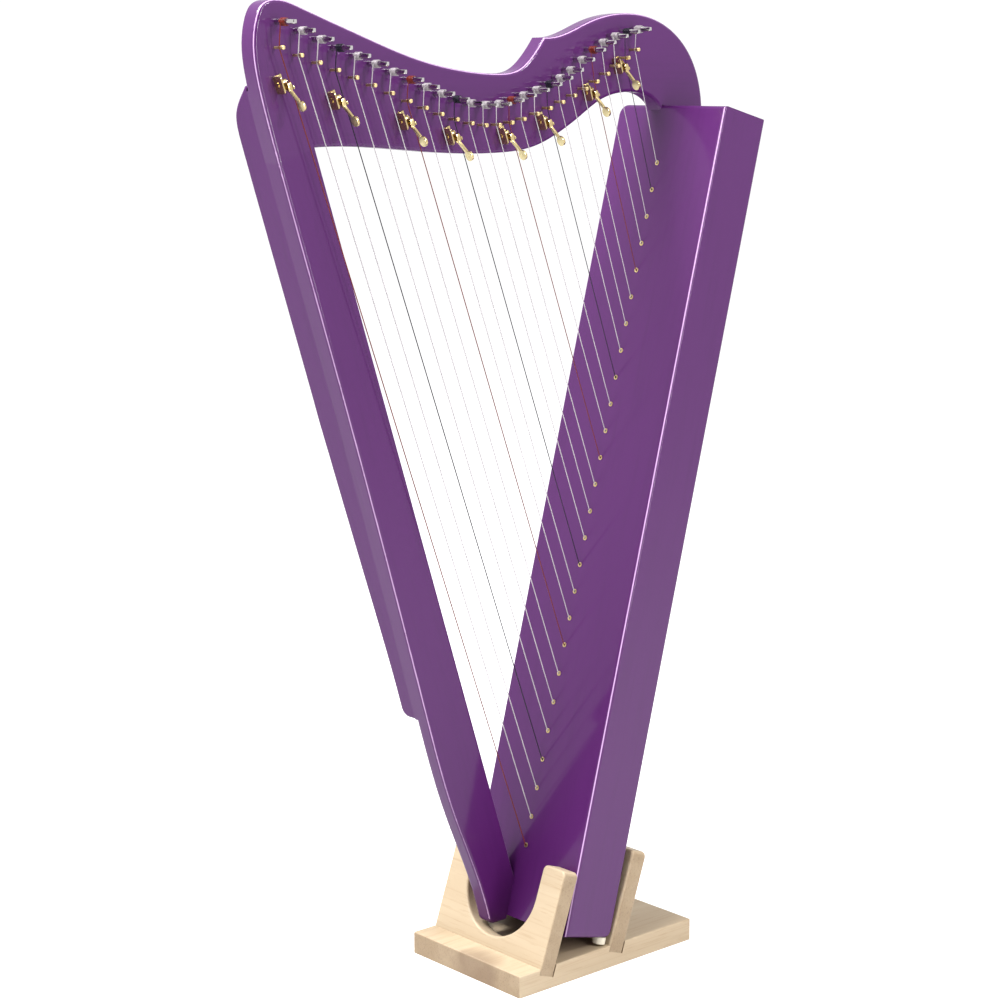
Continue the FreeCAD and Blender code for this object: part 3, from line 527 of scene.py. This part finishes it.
def bevelled_copy(name, source, look, width):
    """Copy of a CAD node with small bevels on its sharp edges."""
    work = bmesh.new()
    work.from_mesh(nodes[source].data)
    bmesh.ops.remove_doubles(work, verts=work.verts, dist=1e-6)
    bmesh.ops.dissolve_limit(work, angle_limit=math.radians(0.5), verts=work.verts, edges=work.edges)
    limit = math.radians(35.0)
    sharp = [edge for edge in work.edges if edge.is_manifold and edge.calc_face_angle() > limit]
    bmesh.ops.bevel(work, geom=sharp, offset=width, segments=2, profile=0.6, affect="EDGES",
                    clamp_overlap=True)
    mesh = bpy.data.meshes.new(name)
    work.to_mesh(mesh)
    work.free()
    return place_piece(name, mesh, look, 30.0)


def make_lever(place):
    """Lever handle with softened edges and a paler inlay on both faces of its paddle."""
    body = "lever_%02d" % place
    joint = JOINTS[body + "_flip"]
    across = Vector(joint["axis"]).normalized()
    down = across.cross(Vector((0, 1, 0)))
    down = down if down.z < 0 else -down
    paddle = Vector(joint["pos_m"]) + down * PADDLE_DOWN - Vector((0, PADDLE_OUT, 0))
    piece = bevelled_copy("lever_handle_%02d" % place, body, "brass", LEVER_BEVEL)
    piece.data.materials.append(looks["paddle"])
    for face in piece.data.polygons:
        near_paddle = (Vector(face.center) - paddle).cross(across).length < INLAY_R
        broad_face = abs(face.normal.dot(across)) > 0.95
        face.material_index = 1 if near_paddle and broad_face else 0
    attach(piece, body)
    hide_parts(body)


for number in range(1, STRING_COUNT + 1):
    make_winding(number, make_pin(number))
for place in range(1, LEVER_COUNT + 1):
    make_lever(place)


# ================================================================ floor, light and camera

WHITE_LEVEL = 1.05
ROOM_LEVEL = 0.1
ROOM_DIRECTION = (-0.66, -0.75, 0.15)
FLOOR_GLOW = 0.68
FLOOR_GREY = 0.45
FLOOR_REACH = 12.0
CAMERA_PLACE = (-1.3625, -1.4669, 0.7816)
CAMERA_DOWN = math.radians(10.37)
CAMERA_TURN = math.radians(-41.5)
CAMERA_LENS = 82.84
# name, place, target, width, height, power in watts
LIGHTS = (
    ("key", (0.55, -1.9, 2.15), (0, 0, 0.5), 0.45, 0.45, 40),
    ("strip", (0.10, -1.65, 0.85), (0, 0, 0.75), 0.14, 1.35, 20),
    ("front_fill", (-1.7, 0.3, 2.8), (0, 0, 0.45), 1.6, 1.4, 240),
)


def area_light(name, place, target, width, height, power):
    """White rectangular light that faces its target."""
    data = bpy.data.lights.new(name, "AREA")
    data.shape = "RECTANGLE"
    data.size = width
    data.size_y = height
    data.energy = power
    lamp = bpy.data.objects.new(name, data)
    bpy.context.scene.collection.objects.link(lamp)
    lamp.location = place
    lamp.rotation_euler = (Vector(target) - Vector(place)).to_track_quat("-Z", "Y").to_euler()


def make_floor():
    """Plain pale floor that glows enough to run into the white studio without a horizon."""
    mesh = bpy.data.meshes.new("floor")
    reach = FLOOR_REACH
    corners = [(-reach, -reach, 0), (reach, -reach, 0), (reach, reach, 0), (-reach, reach, 0)]
    mesh.from_pydata(corners, [], [(0, 1, 2, 3)])
    floor = bpy.data.objects.new("floor", mesh)
    bpy.context.scene.collection.objects.link(floor)
    made, tree, shader = material("floor_white")
    shader.inputs["Base Color"].default_value = (FLOOR_GREY, FLOOR_GREY, FLOOR_GREY, 1)
    shader.inputs["Roughness"].default_value = 0.9
    shader.inputs["Specular IOR Level"].default_value = 0.0
    shader.inputs["Emission Color"].default_value = (1, 1, 1, 1)
    shader.inputs["Emission Strength"].default_value = FLOOR_GLOW
    mesh.materials.append(made)


def make_world():
    """White studio all round, but for a darker part of the room where the camera stands."""
    world = bpy.data.worlds.new("studio")
    bpy.context.scene.world = world
    world.use_nodes = True
    tree = world.node_tree
    tree.nodes.clear()
    coords = node(tree, "ShaderNodeTexCoord")
    towards = node(tree, "ShaderNodeVectorMath", {"operation": "DOT_PRODUCT"})
    towards.inputs[1].default_value = Vector(ROOM_DIRECTION).normalized()
    tree.links.new(coords.outputs["Generated"], towards.inputs[0])
    level = node(tree, "ShaderNodeMapRange", {"interpolation_type": "SMOOTHSTEP"},
                 {"From Min": 0.25, "From Max": 0.75, "To Min": WHITE_LEVEL, "To Max": ROOM_LEVEL})
    tree.links.new(towards.outputs["Value"], level.inputs["Value"])
    sky = node(tree, "ShaderNodeBackground", (), {"Color": (1, 1, 1, 1)})
    tree.links.new(level.outputs["Result"], sky.inputs["Strength"])
    output = tree.nodes.new("ShaderNodeOutputWorld")
    tree.links.new(sky.outputs["Background"], output.inputs["Surface"])


def make_camera():
    """Camera at the photographed angle."""
    data = bpy.data.cameras.new("camera")
    data.sensor_width = 36.0
    data.lens = CAMERA_LENS
    data.clip_start = 0.05
    data.clip_end = 60.0
    camera = bpy.data.objects.new("camera", data)
    bpy.context.scene.collection.objects.link(camera)
    camera.location = CAMERA_PLACE
    camera.rotation_euler = (math.radians(90) - CAMERA_DOWN, 0, CAMERA_TURN)
    bpy.context.scene.camera = camera


make_floor()
make_world()
for light in LIGHTS:
    area_light(*light)
make_camera()
bpy.context.scene.view_settings.view_transform = "Standard"
